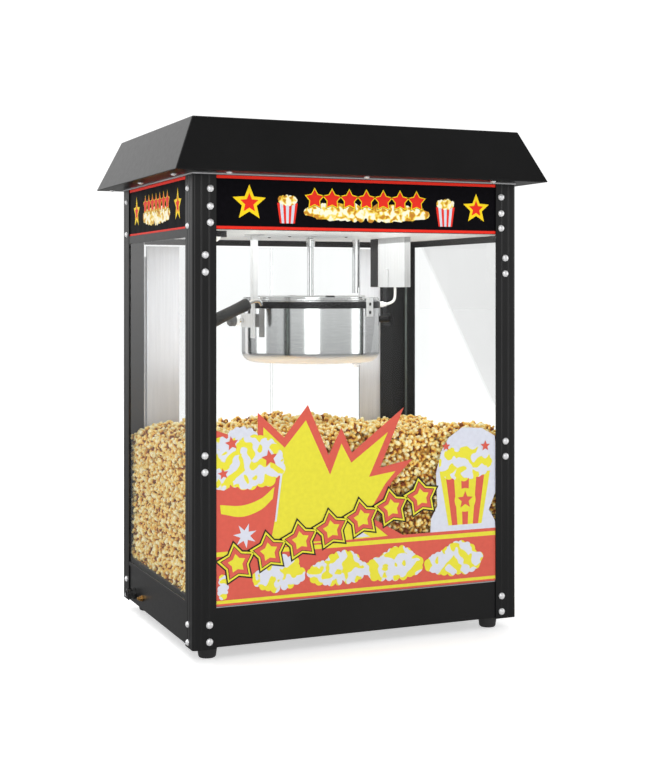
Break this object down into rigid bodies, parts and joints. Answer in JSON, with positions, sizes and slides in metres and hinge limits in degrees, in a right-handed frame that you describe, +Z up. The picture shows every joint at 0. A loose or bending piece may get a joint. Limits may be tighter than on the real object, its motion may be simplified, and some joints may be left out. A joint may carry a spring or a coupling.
{
  "type": "popcorn machine",
  "caption": "Countertop popcorn machine: glazed black cabinet with a hipped roof, a tilting stirred kettle with half lids, back doors, a crumb drawer and rocker switches.",
  "frame": {"origin": "on the surface it stands on, under the middle of the roof", "axes": "+Z up, -Y towards the customer's side with the sign and front glass, +Y towards the operator's side with the doors, +X to the customer's right"},
  "size_m": [0.56, 0.42, 0.722],
  "materials": {
    "black_paint": "semi-gloss black powder coat on sheet steel",
    "stainless": "brushed stainless sheet",
    "polished": "polished stainless steel",
    "dark_steel": "blackened steel",
    "glazing": "clear toughened glass",
    "acrylic": "clear cast acrylic",
    "sign_print": "printed sign sheet, black ground with red lines",
    "rubber_black": "matt black rubber",
    "bakelite": "black moulded phenolic",
    "switch_red": "red translucent rocker",
    "brass": "plain brass",
    "lamp_glass": "opal glass",
    "silicone": "white heat-resistant sleeve"
  },
  "bodies": {
    "root": {"post_front_left": "black_paint", "post_front_right": "black_paint", "post_back_left": "black_paint", "post_back_right": "black_paint", "base_walls": "black_paint", "bottom_plate": "black_paint", "rail_left": "black_paint", "rail_right": "black_paint", "rail_back": "black_paint", "back_panel": "black_paint", "roof": "black_paint", "cabinet_floor": "stainless", "top_plate": "stainless", "ceiling_plate": "stainless", "hanger_left": "stainless", "door_hinge_left": "stainless", "door_hinge_right": "stainless", "hanger_right": "polished", "lamp_holder": "dark_steel", "gear_motor": "dark_steel", "hanger_strap": "dark_steel", "glass_front": "glazing", "glass_left": "glazing", "glass_right": "glazing", "sign_front": "sign_print", "sign_left": "sign_print", "sign_right": "sign_print", "foot_front_left": "rubber_black", "foot_front_right": "rubber_black", "foot_back_left": "rubber_black", "foot_back_right": "rubber_black", "cable_gland": "rubber_black", "earth_terminal": "brass", "lamp_lens": "lamp_glass", "heater_lead": "silicone"},
    "kettle": {"kettle_shell": "polished", "kettle_pan": "polished", "heating_ring": "dark_steel", "rim_band": "dark_steel", "lid_frame": "polished", "handle_rod": "dark_steel", "handle_grip": "bakelite", "heater_connector": "bakelite", "pivot_knob": "bakelite"},
    "stirrer": {"stirrer_shaft": "polished", "stirrer_blade": "stainless"},
    "drive": {"drive_fork": "polished"},
    "front_lid": {"lid_front": "polished"},
    "back_lid": {"lid_back": "polished"},
    "left_door": {"door_panel_left": "acrylic", "door_stile_left": "stainless", "door_knob_left": "bakelite"},
    "right_door": {"door_panel_right": "acrylic", "door_stile_right": "stainless", "door_knob_right": "bakelite"},
    "drawer": {"crumb_drawer": "stainless"},
    "light_switch": {"rocker_light": "switch_red"},
    "heat_switch": {"rocker_heat": "switch_red"},
    "stir_switch": {"rocker_stir": "switch_red"}
  },
  "joints": [
    {"name": "kettle_tilt", "type": "hinge", "parent": "root", "child": "kettle", "pos_m": [-0.004, 0, 0.448], "axis": [1, 0, 0], "range_deg": [0, 100]},
    {"name": "drive_spin", "type": "hinge", "parent": "root", "child": "drive", "pos_m": [-0.004, 0, 0.57], "axis": [0, 0, 1], "continuous": true},
    {"name": "stir_spin", "type": "hinge", "parent": "kettle", "child": "stirrer", "pos_m": [-0.004, 0, 0.45], "axis": [0, 0, 1], "continuous": true},
    {"name": "front_lid_open", "type": "hinge", "parent": "kettle", "child": "front_lid", "pos_m": [-0.004, -0.0085, 0.4825], "axis": [-1, 0, 0], "range_deg": [0, 60]},
    {"name": "back_lid_open", "type": "hinge", "parent": "kettle", "child": "back_lid", "pos_m": [-0.004, 0.0085, 0.4825], "axis": [1, 0, 0], "range_deg": [0, 60]},
    {"name": "left_door_open", "type": "hinge", "parent": "root", "child": "left_door", "pos_m": [-0.2115, 0.1786, 0.3175], "axis": [0, 0, 1], "range_deg": [0, 110]},
    {"name": "right_door_open", "type": "hinge", "parent": "root", "child": "right_door", "pos_m": [0.2115, 0.1786, 0.3175], "axis": [0, 0, -1], "range_deg": [0, 110]},
    {"name": "drawer_slide", "type": "slide", "parent": "root", "child": "drawer", "axis": [0, 1, 0], "range_m": [0, 0.13]},
    {"name": "light_switch_rock", "type": "hinge", "parent": "root", "child": "light_switch", "pos_m": [-0.07, 0.1682, 0.61], "axis": [1, 0, 0], "range_deg": [0, 24]},
    {"name": "heat_switch_rock", "type": "hinge", "parent": "root", "child": "heat_switch", "pos_m": [0, 0.1682, 0.61], "axis": [1, 0, 0], "range_deg": [0, 24]},
    {"name": "stir_switch_rock", "type": "hinge", "parent": "root", "child": "stir_switch", "pos_m": [0.07, 0.1682, 0.61], "axis": [1, 0, 0], "range_deg": [0, 24]}
  ],
  "couplings": [
    {"joint": "drive_spin", "follows": "stir_spin", "ratio": 1}
  ]
}
